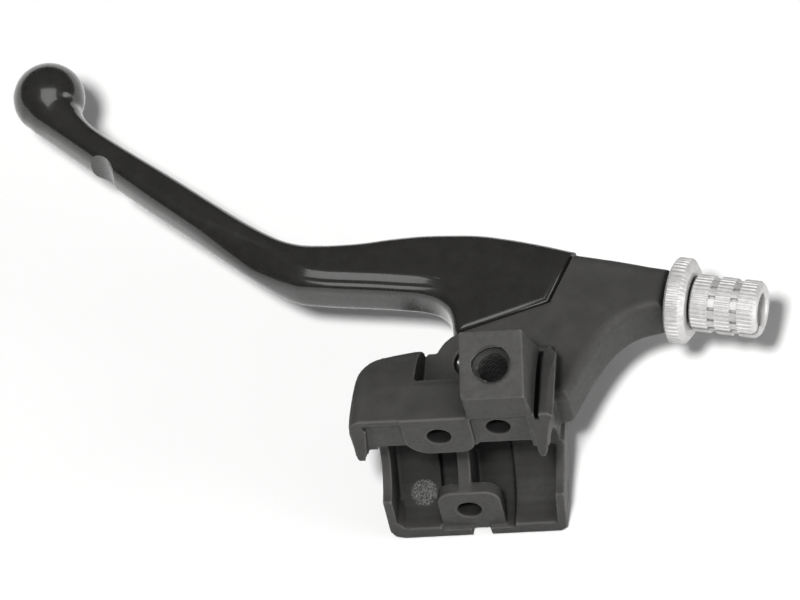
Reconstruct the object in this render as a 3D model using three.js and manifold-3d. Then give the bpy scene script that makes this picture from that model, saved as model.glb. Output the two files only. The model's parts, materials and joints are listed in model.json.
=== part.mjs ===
// Clutch lever assembly for a left handlebar, in millimetres.
// X runs along the handlebar towards the middle of the motorcycle, Y points forward, away from
// the rider, and Z is up, square to the plane that the lever swings in. The origin is on the
// handlebar's axis, in the middle of the clamp housing.

import * as THREE from 'three';
import { mergeVertices } from 'three/addons/utils/BufferGeometryUtils.js';
import Module from 'manifold-3d';

// ---------------------------------------------------------------- driving dimensions

const BAR_RADIUS = 11; // 22 mm handlebar
const SADDLE_RADIUS = 11.9; // end walls clear the bar
const PART_PLANE_Y = 0; // plane where the rear half of the housing would meet this half

const PIVOT = { x: 3.3, y: 28.4 };
const EAR_RADIUS = 11.2;
const EAR_TOP = 14;
const EAR_BOTTOM = -3;
const ARM_BOTTOM = -1;
const SLOT_TOP = 9.8; // the slot between the two ears takes the lever's tongue
const SLOT_BOTTOM = 3.0;
const SLOT_RADIUS = 10.3;
const JOINT_GAP = 0.5; // gap between lever and bracket along their shared edge

const LEVER_TOP = 14;
const LEVER_BOTTOM = 1;
const LEVER_MID = (LEVER_TOP + LEVER_BOTTOM) / 2;
const LEVER_EDGE_RADIUS = 3;
const TONGUE_TOP = 9;
const TONGUE_BOTTOM = 3.8;
const TONGUE_RADIUS = 9.3;
const BALL = { x: -122, y: 129, radius: 10 };
const NIPPLE = { x: 14.5, y: 59.6, radius: 4.2 }; // pocket for the cable's end barrel

const BOLT_RADIUS = 3;
const BOLT_END = -7.8; // just past the locknut
const BOLT_HEAD = { radius: 4.9, height: 2.3, slotWidth: 1.2, slotDepth: 1.1 };
const COUNTERBORE = { radius: 5.6, depth: 2.5 };
const BUSH = { inner: 3.25, outer: 4.6 };
const NUT_ACROSS_FLATS = 10;
const NUT_HEIGHT = 4.2;
const NUT_COLLAR = { bore: 3.3, radius: 4.5, height: 1.7, seat: 3.9 };
const NUT_RECESS = { radius: 6.6, top: -0.2 };
const WASHER = { inner: 3.4, outer: 6.2, thickness: 0.6 };
const NYLON = { inner: 3.2, outer: 3.6, thickness: 0.8 };

const SCREW_RADIUS = 3.4; // clearance for M6 clamp screws, above and below the bar
const UPPER_BOSS = { screwX: -4.4, screwZ: 19, xMin: -14.4, xMax: 5.2, face: -0.3, depth: 14.3 };
const LOWER_PAD = { screwX: -1.7, screwZ: -19, xMin: -10.2, xMax: 7.6, face: 1.2, depth: 4 };
const BOSS_CORNER = 4.6;
const RIB = { xMin: -3.7, xMax: -0.1 }; // stands behind the lower pad
const SWITCH_HOLE = { x: 12.3, z: 19.8, depth: 12 };
const MIRROR_TILT = THREE.MathUtils.degToRad(25);
const MIRROR = { x: 13, xMin: 4, xMax: 22, depth: 17.5, frontTop: 36, minor: 4.3, sink: 5.5 };

const ADJUSTER = { x: 56.8, y: 51.2, z: 6.8 }; // where the adjuster leaves the arm
const ADJUSTER_SLOPE = THREE.MathUtils.degToRad(-11.2);
const STEM_RADIUS = 5;
const STEM_BORE = 5.3;
const STEM_LENGTH = 11;
const CABLE_BORE = 2.6; // through the arm
const CABLE_HOLE = 1.6; // through the barrel
const CABLE_SOCKET = { radius: 4.7, depth: 11 };
const RING = { start: 0.35, end: 6.3, radius: 12, bore: 5.3, teeth: 44 };
const BARREL = { start: 6.7, end: 26.2, radius: 8, groove: 0.6, slot: 2.2 };

// ---------------------------------------------------------------- solids

const wasm = await Module();
wasm.setup();

// A closed three.js geometry as a solid that can be joined and cut.
function solid(geometry) {
  const bare = geometry.clone();
  bare.deleteAttribute('normal');
  bare.deleteAttribute('uv');
  const merged = mergeVertices(bare, 1e-4);
  return new wasm.Manifold(new wasm.Mesh({
    numProp: 3,
    vertProperties: new Float32Array(merged.attributes.position.array),
    triVerts: new Uint32Array(merged.index.array),
  }));
}

function geometryOf(body) {
  const mesh = body.getMesh();
  const geometry = new THREE.BufferGeometry();
  geometry.setAttribute('position', new THREE.BufferAttribute(new Float32Array(mesh.vertProperties), 3));
  geometry.setIndex(new THREE.BufferAttribute(new Uint32Array(mesh.triVerts), 1));
  return geometry;
}

function join(...bodies) {
  return bodies.reduce((sum, body) => sum.add(body));
}

function cut(body, ...tools) {
  return tools.reduce((rest, tool) => rest.subtract(tool), body);
}

// Outline from a list of [u, v] points.
function outline(points) {
  return new THREE.Shape(points.map(([u, v]) => new THREE.Vector2(u, v)));
}

// Outline whose points are joined by one smooth curve; extra points close it with straight lines.
function smoothOutline(curvePoints, divisions, closingPoints = []) {
  const curve = new THREE.SplineCurve(curvePoints.map(([u, v]) => new THREE.Vector2(u, v)));
  const closing = closingPoints.map(([u, v]) => new THREE.Vector2(u, v));
  return new THREE.Shape([...curve.getPoints(divisions), ...closing]);
}

// Rectangle with one corner radius.
function roundedRectangle(u0, v0, u1, v1, radius) {
  const shape = new THREE.Shape();
  shape.moveTo(u0 + radius, v0);
  shape.lineTo(u1 - radius, v0);
  shape.absarc(u1 - radius, v0 + radius, radius, -Math.PI / 2, 0);
  shape.lineTo(u1, v1 - radius);
  shape.absarc(u1 - radius, v1 - radius, radius, 0, Math.PI / 2);
  shape.lineTo(u0 + radius, v1);
  shape.absarc(u0 + radius, v1 - radius, radius, Math.PI / 2, Math.PI);
  shape.lineTo(u0, v0 + radius);
  shape.absarc(u0 + radius, v0 + radius, radius, Math.PI, 1.5 * Math.PI);
  return shape;
}

function extrude(shape, depth, curveSegments = 6) {
  return new THREE.ExtrudeGeometry(shape, { depth, bevelEnabled: false, curveSegments });
}

// Prisms: the outline is drawn in the plane named, and pushed along the remaining axis.
function prismXY(shape, z0, z1, segments) {
  return solid(extrude(shape, z1 - z0, segments).translate(0, 0, z0));
}

function prismYZ(shape, x0, x1, segments) {
  const turn = new THREE.Matrix4().set(0, 0, 1, x0, 1, 0, 0, 0, 0, 1, 0, 0, 0, 0, 0, 1);
  return solid(extrude(shape, x1 - x0, segments).applyMatrix4(turn));
}

function prismXZ(shape, y0, y1, segments) {
  const turn = new THREE.Matrix4().set(1, 0, 0, 0, 0, 0, -1, y1, 0, 1, 0, 0, 0, 0, 0, 1);
  return solid(extrude(shape, y1 - y0, segments).applyMatrix4(turn));
}

function block(x0, y0, z0, x1, y1, z1) {
  const box = new THREE.BoxGeometry(x1 - x0, y1 - y0, z1 - z0);
  return solid(box.translate((x0 + x1) / 2, (y0 + y1) / 2, (z0 + z1) / 2));
}

// Cylinder between two heights on a line through a point, along a direction.
function cylinder(radius, from, direction, low, high, segments = 24) {
  const geometry = new THREE.CylinderGeometry(radius, radius, high - low, segments);
  geometry.translate(0, (low + high) / 2, 0);
  return solid(along(geometry, from, direction));
}

// Turned piece: the profile lists [radius, height] from the axis and back to it.
function turned(profile, from, direction, segments = 32) {
  const geometry = new THREE.LatheGeometry(profile.map(([r, h]) => new THREE.Vector2(r, h)), segments);
  return solid(along(geometry, from, direction));
}

function along(geometry, from, direction) {
  const turn = new THREE.Quaternion().setFromUnitVectors(new THREE.Vector3(0, 1, 0), direction);
  return geometry.applyQuaternion(turn).translate(from.x, from.y, from.z ?? 0);
}

const UP = new THREE.Vector3(0, 0, 1);
const FORWARD = new THREE.Vector3(0, 1, 0);
const ADJUSTER_AXIS = new THREE.Vector3(Math.cos(ADJUSTER_SLOPE), Math.sin(ADJUSTER_SLOPE), 0);
const MIRROR_AXIS = new THREE.Vector3(0, -Math.sin(MIRROR_TILT), Math.cos(MIRROR_TILT));

// ---------------------------------------------------------------- shared edge of lever and bracket

// The edge runs straight past the ear's circle, then turns towards the front of the arm.
const EDGE_ANGLE = Math.atan2(9.9, 25.9);
const EDGE_START = [
  PIVOT.x - EAR_RADIUS * Math.sin(EDGE_ANGLE),
  PIVOT.y + EAR_RADIUS * Math.cos(EDGE_ANGLE),
];
const EDGE_CORNER = [23.6, 47.4];
const EDGE_END = [29.4, 62.8];

// The edge moved towards the lever by the gap.
function edgeOffset([x, y], gap) {
  return [x - gap * Math.cos(EDGE_ANGLE) * 0.8, y + gap * 0.9];
}

// ---------------------------------------------------------------- bracket casting

function shellProfile() {
  const curve = [
    [12, 27.3], [18.5, 26.4], [24.5, 23.6], [29.4, 18.6], [32.2, 12], [31.6, 4],
    [27.5, -3], [24.6, -9], [22.4, -16], [17.5, -23.4], [9, -28.4], [2, -29.2],
  ];
  return smoothOutline(curve, 44, [[PART_PLANE_Y, -29.2], [PART_PLANE_Y, 27.3]]);
}

function shellFront() {
  const shape = new THREE.Shape();
  shape.moveTo(-29.2, 22);
  shape.lineTo(-28.6, 8.4);
  shape.lineTo(-25.1, 8.4);
  shape.lineTo(-25.1, -25);
  shape.absarc(-21.1, -25.2, 4, Math.PI, 1.5 * Math.PI);
  shape.lineTo(22.8, -29.2);
  shape.lineTo(24.4, -27.8);
  shape.lineTo(27, -3);
  shape.lineTo(25.9, -2);
  shape.lineTo(25.9, 22);
  shape.lineTo(28.6, 24.8);
  shape.lineTo(28.6, 26.2);
  shape.lineTo(27.4, 27.3);
  shape.lineTo(-25.4, 27.3);
  shape.absarc(-25.4, 23.5, 3.8, Math.PI / 2, 0.9 * Math.PI);
  return shape;
}

// Seen from above, the housing's outer end is rounded off towards the front.
function shellPlan() {
  return smoothOutline(
    [[-29.3, 0], [-28.7, 7], [-27.5, 14.5], [-25.6, 19.6], [-22.2, 23.4], [-17, 25.8], [-12, 29], [-9, 33]],
    18, [[29, 33], [29, 0]],
  );
}

function housing() {
  return prismYZ(shellProfile(), -30, 30)
    .intersect(prismXZ(shellFront(), -1, 34))
    .intersect(prismXY(shellPlan(), -30, 28));
}

// The arm runs past the shared edge and is cut back to it, so that only its free edges are round.
function armPlan() {
  return outline([
    [EDGE_START[0], 16], [20, 14], [30.2, 16], [32, 20.6], [33.8, 25], [35.4, 28.4], [37, 31.4],
    [38.7, 34.4], [40.7, 37.2], [43, 39.6], [45.6, 41.6], [48.6, 43], [52, 43.8], [55.3, 44.3],
    [57.1, 57.3], [51.5, 58.6], [42.6, 61], [30, 63.9], [22, 66.5],
    [16, 56], [EDGE_START[0], 48],
  ]);
}

function arm() {
  const height = EAR_TOP - ARM_BOTTOM;
  const round = 2.4;
  const geometry = new THREE.ExtrudeGeometry(armPlan(), {
    depth: height - 2 * round,
    bevelEnabled: true,
    bevelThickness: round,
    bevelSize: round,
    bevelOffset: -round,
    bevelSegments: 3,
  });
  const leverSide = outline([EDGE_START, EDGE_CORNER, EDGE_END, [32, 72], [-30, 72], [-30, EDGE_START[1]]]);
  return cut(solid(geometry.translate(0, 0, ARM_BOTTOM + round)), prismXY(leverSide, -30, 60));
}

// The ears round the pivot. The lower one is thicker than the arm, to hold the nut.
function pivotEar() {
  const disc = new THREE.Shape();
  disc.absarc(PIVOT.x, PIVOT.y, EAR_RADIUS, 0, 2 * Math.PI);
  return prismXY(disc, EAR_BOTTOM, EAR_TOP, 14);
}

// The boss for the mirror's stem leans back, so that its top face looks up at the rider.
function mirrorBoss() {
  const { xMin, xMax, depth, frontTop } = MIRROR;
  const backTop = frontTop + depth * Math.tan(MIRROR_TILT);
  const backFoot = depth + (backTop - EAR_TOP) * Math.tan(MIRROR_TILT) * 0.8;
  const side = outline([[PART_PLANE_Y, 14], [backFoot, EAR_TOP - 1], [depth, backTop], [0, frontTop]]);
  const foot = xMax + 1.4;
  const drafted = outline([
    [xMin, 10], [foot, 10], [foot, 24.5], [xMax + 0.2, 36], [xMax - 0.2, 47], [xMin, 47],
  ]);
  return prismYZ(side, xMin, foot)
    .intersect(prismXZ(drafted, -1, 40))
    .intersect(prismXY(roundedRectangle(xMin, -0.001, foot, 40, 1.6), 10, 46, 3));
}

// Face of a screw boss: straight at its outer end and round towards the bar.
function bossOutline({ xMin, xMax }, zOuter, zInner, leftRadius) {
  const side = Math.sign(zOuter);
  const rightRadius = BOSS_CORNER;
  const shape = new THREE.Shape();
  shape.moveTo(xMin, zOuter);
  shape.lineTo(xMin, zInner + side * leftRadius);
  shape.absarc(
    xMin + leftRadius, zInner + side * leftRadius, leftRadius, Math.PI, side * 1.5 * Math.PI, side < 0,
  );
  shape.lineTo(xMax - rightRadius, zInner);
  shape.absarc(
    xMax - rightRadius, zInner + side * rightRadius, rightRadius, -side * Math.PI / 2, 0, side < 0,
  );
  shape.lineTo(xMax, zOuter);
  return shape;
}

function screwBosses() {
  const { face, depth } = UPPER_BOSS;
  const upper = prismXZ(bossOutline(UPPER_BOSS, 27, BAR_RADIUS, 7), face, face + depth, 5);
  const padOutline = bossOutline(LOWER_PAD, -27.5, -BAR_RADIUS, BOSS_CORNER);
  const pad = prismXZ(padOutline, LOWER_PAD.face, LOWER_PAD.face + LOWER_PAD.depth, 5);
  const rib = block(RIB.xMin, 2, -24, RIB.xMax, 18.5, 4);
  return cut(join(upper, pad, rib), barChannel(BAR_RADIUS + 0.05));
}

function screwHoles() {
  const { x, z, depth } = SWITCH_HOLE;
  return join(
    cylinder(SCREW_RADIUS, { x: UPPER_BOSS.screwX, y: 0, z: UPPER_BOSS.screwZ }, FORWARD, -2, 40),
    cylinder(SCREW_RADIUS, { x: LOWER_PAD.screwX, y: 0, z: LOWER_PAD.screwZ }, FORWARD, -2, 9),
    cylinder(SCREW_RADIUS, { x, y: 0, z }, FORWARD, -2, depth),
  );
}

// Channel for the bar, open towards the rider.
function barChannel(radius) {
  const shape = new THREE.Shape();
  shape.moveTo(-8, -radius);
  shape.lineTo(0, -radius);
  shape.absarc(0, 0, radius, -Math.PI / 2, Math.PI / 2);
  shape.lineTo(-8, radius);
  return prismYZ(shape, -31, 31, 14);
}

// The housing is hollow behind the bar, deeper in the middle than at its ends.
function cavity() {
  const deep = smoothOutline(
    [[13.5, 6], [17.6, 0], [20.6, -6], [20, -13], [17, -19], [11.5, -24.2], [5, -26.2], [-2, -26.4]],
    14, [[-2, 6]],
  );
  const shallow = smoothOutline(
    [[13.5, 6], [16, 0], [18.2, -6], [17.8, -12.6], [15, -18.4], [10, -23.2], [4, -25], [-2, -25.2]],
    14, [[-2, 6]],
  );
  const outerSide = outline([[-2, -4], [17, -4], [27, 2], [27.4, 10], [24.5, 13], [-2, 13]]);
  const ends = prismXZ(outline([
    [-22.4, 7], [-22.4, -22.4], [-19.6, -26], [22, -26], [24.4, -3.6], [22.2, -3], [22.2, 7],
  ]), -3, 30);
  return join(
    prismYZ(deep, -10.3, 10.2),
    prismYZ(shallow, -22.4, 26).intersect(ends),
    prismYZ(outerSide, -22.4, -12),
    block(5.7, -2, -4, 21, 13.5, 12.8),
  );
}

// Tongues at the two upper corners, which locate the rear half of the housing.
function locatingTongues() {
  const left = join(
    prismXZ(outline([[-29, 23], [-28.4, 13.5], [-27.6, 11.9], [-25.9, 11.9], [-25.9, 23]]), -4, 1),
    prismXZ(outline([[-26.6, 23], [-26.6, 13.4], [-25.3, 13.4], [-24.4, 23]]), -3.2, 1),
  );
  const right = prismXZ(outline([
    [21.4, 24.5], [23, 13.6], [23.6, 12.2], [24.8, 12.2], [25.5, 13.6], [27, 21], [28.2, 24.6],
  ]), -5, 1);
  const leftDepth = prismYZ(outline([[1, 23.4], [0, 23.4], [-2.4, 11.8], [1, 11.8]]), -30, 0);
  const rightDepth = prismYZ(outline([[1, 25], [0, 25], [-3.9, 12], [1, 12]]), 0, 30);
  return join(left.intersect(leftDepth), right.intersect(rightDepth));
}

function rimRecesses() {
  return join(
    block(-25.2, -1, 10, -6, 1.5, 25.2),
    block(-3, -1, 10, 21.2, 1.5, 26.4),
    block(-2.1, -1, -31, 3.0, 2.2, -25.5),
    block(23.4, -1, 21, 24.6, 24, 30),
  );
}

// Step beside the pivot: everything forward of it is cut down to the ear's top face.
function pivotPocket() {
  return prismXY(outline([[-10.9, 12.2], [22, 12.2], [22, 22], [18, 40], [-10.2, 40]]), EAR_TOP, 60);
}

function tongueSlot() {
  const circle = new THREE.Shape();
  circle.absarc(PIVOT.x, PIVOT.y, SLOT_RADIUS, 0, 2 * Math.PI);
  const sweep = outline([
    [PIVOT.x - SLOT_RADIUS, PIVOT.y], [PIVOT.x + SLOT_RADIUS, PIVOT.y - 0.5], [21.5, 44], [26, 60],
    [-30, 60], [-30, 34],
  ]);
  return join(prismXY(circle, SLOT_BOTTOM, SLOT_TOP, 12), prismXY(sweep, SLOT_BOTTOM, SLOT_TOP));
}

function pivotHoles() {
  return join(
    cylinder(BOLT_RADIUS + 0.15, PIVOT, UP, -30, 30),
    cylinder(COUNTERBORE.radius, PIVOT, UP, EAR_TOP - COUNTERBORE.depth, 60, 28),
    cylinder(NUT_RECESS.radius, PIVOT, UP, -12, NUT_RECESS.top, 28),
  );
}

function mirrorHole() {
  const middle = MIRROR.depth / 2;
  const mouth = new THREE.Vector3(MIRROR.x, middle, MIRROR.frontTop + middle * Math.tan(MIRROR_TILT));
  const { minor, sink } = MIRROR;
  return turned([
    [0, -18], [minor, -16], [minor, minor - sink], [sink, 0], [sink, 3], [0, 3],
  ], mouth, MIRROR_AXIS, 28);
}

function adjusterBore() {
  return join(
    cylinder(STEM_BORE, ADJUSTER, ADJUSTER_AXIS, -13.5, 4, 24),
    cylinder(CABLE_BORE, ADJUSTER, ADJUSTER_AXIS, -40, 4, 12),
  );
}

function bracket() {
  const shell = cut(join(housing(), arm(), pivotEar()), cavity(), pivotPocket());
  const rim = cut(join(shell, mirrorBoss()), rimRecesses());
  const saddle = cut(join(rim, locatingTongues()), barChannel(SADDLE_RADIUS));
  return cut(
    join(saddle, screwBosses()),
    screwHoles(), tongueSlot(), pivotHoles(), mirrorHole(), adjusterBore(),
  );
}

// ---------------------------------------------------------------- lever

function bladeOutline() {
  const front = [
    [-112.6, 119.8], [-105.9, 113.7], [-96.3, 106.5], [-85.1, 98.1], [-73.9, 89.6], [-62.7, 80.2],
    [-54.9, 74.4], [-48, 71.6], [-41, 70.8], [-33, 71], [-24.8, 71.8], [-17, 72.4], [-6, 72.2],
    [4.9, 71.3], [18.4, 67.8], [28.4, 64.7], [36, 62.2],
  ];
  const rider = [
    [36, 40], [0, 34], [-3.4, 37.8], [-3.9, 43], [-5.2, 47.5], [-8.6, 51.6], [-14, 53.6], [-20, 54.5],
    [-28.8, 55.6], [-39.5, 56.8], [-47, 57.6], [-52.6, 59.8], [-57.4, 62.9], [-64.8, 68.4],
    [-76.3, 77.6], [-87.5, 86.6], [-102.5, 99.6], [-115.5, 110.7], [-123, 117.3], [-128, 121.6],
  ];
  return outline([...front, ...rider, [-124, 127]]);
}

function blade() {
  const round = LEVER_EDGE_RADIUS;
  const geometry = new THREE.ExtrudeGeometry(bladeOutline(), {
    depth: LEVER_TOP - LEVER_BOTTOM - 2 * round,
    bevelEnabled: true,
    bevelThickness: round,
    bevelSize: round,
    bevelOffset: -round,
    bevelSegments: 3,
  });
  return solid(geometry.translate(0, 0, LEVER_BOTTOM + round));
}

// What the bracket takes from the lever's outline, with the gap between them.
function bracketSide() {
  return prismXY(outline([
    [-30, edgeOffset(EDGE_START, JOINT_GAP)[1] - 10.6], edgeOffset(EDGE_START, JOINT_GAP),
    edgeOffset(EDGE_CORNER, JOINT_GAP), edgeOffset(EDGE_END, JOINT_GAP), [32.5, 70], [60, 70],
    [60, 0], [-30, 0],
  ]), -10, 30);
}

function tongue() {
  const disc = new THREE.Shape();
  disc.absarc(PIVOT.x, PIVOT.y, TONGUE_RADIUS, 0, 2 * Math.PI);
  const neck = outline([
    [PIVOT.x - TONGUE_RADIUS, PIVOT.y], [PIVOT.x + TONGUE_RADIUS, PIVOT.y], [18, 43], [20, 50],
    [-1, 48], [-2.2, 40],
  ]);
  return join(
    prismXY(disc, TONGUE_BOTTOM, TONGUE_TOP, 12),
    prismXY(neck, TONGUE_BOTTOM, TONGUE_TOP),
  );
}

// Scoop near the ball, where the tip breaks off in a fall instead of the lever.
function breakNotch() {
  const across = new THREE.Vector3(0.62, 0.78, 0);
  const scoop = new THREE.CylinderGeometry(3.6, 3.6, 30, 20);
  scoop.scale(1.35, 1, 1).rotateX(Math.PI / 2).rotateZ(Math.atan2(across.x, -across.y));
  return solid(scoop.translate(-106.9, 101.2, LEVER_MID));
}

function lever() {
  const ball = solid(new THREE.SphereGeometry(BALL.radius, 28, 18).rotateX(Math.PI / 2)
    .translate(BALL.x, BALL.y, LEVER_MID));
  const body = join(cut(blade(), bracketSide()), ball, tongue());
  const cableLine = new THREE.Vector3(NIPPLE.x, NIPPLE.y, LEVER_MID);
  const slot = block(0, -1.2, -12, 40, 1.2, 1.4)
    .rotate([0, 0, THREE.MathUtils.radToDeg(ADJUSTER_SLOPE)])
    .translate([cableLine.x, cableLine.y, cableLine.z]);
  return cut(
    body, breakNotch(), slot,
    cylinder(NIPPLE.radius, NIPPLE, UP, -5, LEVER_MID + 2.4, 20),
    cylinder(BUSH.outer + 0.3, PIVOT, UP, -20, 40, 24),
  );
}

// ---------------------------------------------------------------- pivot hardware

function pivotBolt() {
  const headBottom = EAR_TOP - COUNTERBORE.depth + 0.3;
  const { radius, height, slotWidth, slotDepth } = BOLT_HEAD;
  const top = headBottom + height;
  const chamfer = 0.5;
  const body = turned([
    [0, BOLT_END], [BOLT_RADIUS - chamfer, BOLT_END], [BOLT_RADIUS, BOLT_END + chamfer],
    [BOLT_RADIUS, headBottom], [radius, headBottom], [radius, top - chamfer],
    [radius - chamfer, top], [0, top],
  ], PIVOT, UP, 28);
  const driverSlot = block(-8, -slotWidth / 2, top - slotDepth, 8, slotWidth / 2, top + 1);
  return cut(body, driverSlot.translate([PIVOT.x, PIVOT.y, 0]));
}

function ringProfile(inner, outer, low, high) {
  return [[inner, low], [outer, low], [outer, high], [inner, high], [inner, low]];
}

function pivotBush() {
  return turned(ringProfile(BUSH.inner, BUSH.outer, SLOT_BOTTOM + 0.35, SLOT_TOP - 0.35), PIVOT, UP, 28);
}

function hexagon(acrossFlats) {
  const corner = acrossFlats / Math.sqrt(3);
  const points = [];
  for (let side = 0; side < 6; side += 1) {
    const angle = side * Math.PI / 3;
    points.push([PIVOT.x + corner * Math.cos(angle), PIVOT.y + corner * Math.sin(angle)]);
  }
  return outline(points);
}

// From the ceiling of its recess down: washer, nut, and the nut's collar with the nylon ring.
const WASHER_TOP = NUT_RECESS.top - 0.3;
const NUT_TOP = WASHER_TOP - WASHER.thickness - 0.2;
const COLLAR_TOP = NUT_TOP - NUT_HEIGHT;

function pivotNut() {
  const { bore, radius, height, seat } = NUT_COLLAR;
  const body = prismXY(hexagon(NUT_ACROSS_FLATS), COLLAR_TOP, NUT_TOP);
  const collar = turned(ringProfile(bore, radius, COLLAR_TOP - height, COLLAR_TOP + 0.2), PIVOT, UP, 28);
  return cut(
    join(body, collar),
    cylinder(bore, PIVOT, UP, -30, 10, 24),
    cylinder(seat, PIVOT, UP, COLLAR_TOP - height + 0.5, COLLAR_TOP + 0.2, 24),
  );
}

function nylonRing() {
  const { inner, outer, thickness } = NYLON;
  const top = COLLAR_TOP - 0.1;
  return turned(ringProfile(inner, outer, top - thickness, top), PIVOT, UP, 24);
}

function pivotWasher() {
  const { inner, outer, thickness } = WASHER;
  return turned(ringProfile(inner, outer, WASHER_TOP - thickness, WASHER_TOP), PIVOT, UP, 28);
}

// ---------------------------------------------------------------- cable adjuster

function knurledDisc(radius, depth, teeth, low, high) {
  const points = [];
  for (let tooth = 0; tooth < teeth; tooth += 1) {
    for (const [share, r] of [[0, radius], [0.5, radius], [0.72, radius - depth], [0.88, radius - depth]]) {
      const angle = (tooth + share) * 2 * Math.PI / teeth;
      points.push([r * Math.cos(angle), r * Math.sin(angle)]);
    }
  }
  const geometry = extrude(outline(points), high - low).rotateX(-Math.PI / 2).translate(0, low, 0);
  return solid(along(geometry, ADJUSTER, ADJUSTER_AXIS));
}

function lockRing() {
  const { start, end, radius, bore, teeth } = RING;
  const body = turned([
    [0, start], [radius - 1.2, start], [radius, start + 0.8], [radius, end - 1.6],
    [radius - 1.9, end], [0, end],
  ], ADJUSTER, ADJUSTER_AXIS, 40);
  return cut(
    body.intersect(knurledDisc(radius + 0.01, 0.5, teeth, start - 1, end + 1)),
    cylinder(bore, ADJUSTER, ADJUSTER_AXIS, start - 1, end + 1, 28),
  );
}

function adjusterBarrel() {
  const { start, end, radius, groove, slot } = BARREL;
  const band = (end - start) / 3;
  const profile = [
    [0, -STEM_LENGTH], [STEM_RADIUS - 0.6, -STEM_LENGTH], [STEM_RADIUS, 0.6 - STEM_LENGTH],
    [STEM_RADIUS, start],
  ];
  for (let index = 0; index < 3; index += 1) {
    const low = start + index * band;
    const last = index === 2;
    profile.push([radius - 0.7, low + (index ? 0.8 : 0)], [radius, low + (index ? 1.3 : 0.6)]);
    profile.push([radius, low + band - (last ? 0.9 : 1.3)]);
    profile.push([radius - (last ? 0.9 : groove + 0.1), low + band - (last ? 0 : 0.8)]);
  }
  profile.push([0, end]);
  const body = turned(profile, ADJUSTER, ADJUSTER_AXIS, 40);
  const slotCut = block(-14, -slot / 2, -12, 30, slot / 2, 0)
    .rotate([0, 0, THREE.MathUtils.radToDeg(ADJUSTER_SLOPE)])
    .translate([ADJUSTER.x, ADJUSTER.y, ADJUSTER.z]);
  return cut(
    body, slotCut,
    cylinder(CABLE_HOLE, ADJUSTER, ADJUSTER_AXIS, -14, 30, 12),
    cylinder(CABLE_SOCKET.radius, ADJUSTER, ADJUSTER_AXIS, end - CABLE_SOCKET.depth, 30, 28),
  );
}

// ---------------------------------------------------------------- assembly

const CAST_BLACK = { color: 0x2b2a29, roughness: 0.75, metalness: 0.1 };
const GLOSS_BLACK = { color: 0x151413, roughness: 0.25, metalness: 0.1 };
const ZINC = { color: 0xd9dcdf, roughness: 0.3, metalness: 1 };
const BRONZE = { color: 0xb08a4a, roughness: 0.4, metalness: 1 };
const BLUE_NYLON = { color: 0x3f6fb0, roughness: 0.6, metalness: 0 };

const assembly = new THREE.Group();

function addPart(name, body, look) {
  const mesh = new THREE.Mesh(geometryOf(body), new THREE.MeshStandardMaterial(look));
  mesh.name = name;
  assembly.add(mesh);
}

addPart('bracket_housing', bracket(), CAST_BLACK);
addPart('clutch_lever', lever(), GLOSS_BLACK);
addPart('pivot_bolt', pivotBolt(), ZINC);
addPart('pivot_bush', pivotBush(), BRONZE);
addPart('pivot_washer', pivotWasher(), ZINC);
addPart('pivot_locknut', pivotNut(), ZINC);
addPart('locknut_nylon_ring', nylonRing(), BLUE_NYLON);
addPart('adjuster_lock_ring', lockRing(), ZINC);
addPart('adjuster_barrel', adjusterBarrel(), ZINC);

export default assembly;
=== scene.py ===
import json
import math

import bmesh
import bpy
from mathutils import Matrix, Vector


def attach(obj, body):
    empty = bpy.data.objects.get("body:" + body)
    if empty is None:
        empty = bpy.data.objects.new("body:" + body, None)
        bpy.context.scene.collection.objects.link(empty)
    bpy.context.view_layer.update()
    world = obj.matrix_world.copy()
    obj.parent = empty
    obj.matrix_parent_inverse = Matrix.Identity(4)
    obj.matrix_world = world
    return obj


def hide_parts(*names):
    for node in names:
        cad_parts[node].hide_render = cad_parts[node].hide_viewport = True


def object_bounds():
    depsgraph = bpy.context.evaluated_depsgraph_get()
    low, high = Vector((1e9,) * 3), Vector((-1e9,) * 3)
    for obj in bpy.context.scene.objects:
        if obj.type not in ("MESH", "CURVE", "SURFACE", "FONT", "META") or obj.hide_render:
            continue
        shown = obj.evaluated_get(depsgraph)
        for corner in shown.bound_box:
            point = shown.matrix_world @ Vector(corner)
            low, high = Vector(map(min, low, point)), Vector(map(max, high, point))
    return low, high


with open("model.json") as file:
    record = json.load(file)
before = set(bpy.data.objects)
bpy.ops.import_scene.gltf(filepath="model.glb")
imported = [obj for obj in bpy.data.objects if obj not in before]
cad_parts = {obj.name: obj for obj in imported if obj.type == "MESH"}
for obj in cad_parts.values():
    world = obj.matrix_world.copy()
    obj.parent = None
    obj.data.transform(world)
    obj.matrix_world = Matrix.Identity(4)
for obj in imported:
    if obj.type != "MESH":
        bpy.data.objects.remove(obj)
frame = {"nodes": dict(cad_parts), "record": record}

CAD_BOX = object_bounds()
MM = 0.001
JOINTS = {joint["name"]: joint for joint in frame["record"]["behaviour"]["joints"]}


def link_new(name, data):
    """A new object, linked to the scene."""
    obj = bpy.data.objects.new(name, data)
    bpy.context.scene.collection.objects.link(obj)
    return obj


# ---------------------------------------------------------------- camera

# The camera looks down at 54 degrees from the rider's side, a little from the right, without perspective.
# The last two lines make its three directions exactly square to each other.
VIEW_RIGHT = Vector((0.987, 0.048, -0.152))
VIEW_UP = Vector((0.048, 0.822, 0.568))
VIEW_BACK = VIEW_RIGHT.cross(VIEW_UP).normalized()
VIEW_RIGHT = VIEW_UP.cross(VIEW_BACK).normalized()

FRAME_WIDTH = 222.2 * MM
FRAME_CENTRE = VIEW_RIGHT * (-18.06 * MM) + VIEW_UP * (48.5 * MM)
CAMERA_DISTANCE = 2.0
CLIP_START, CLIP_END = 0.1, 20.0


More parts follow.
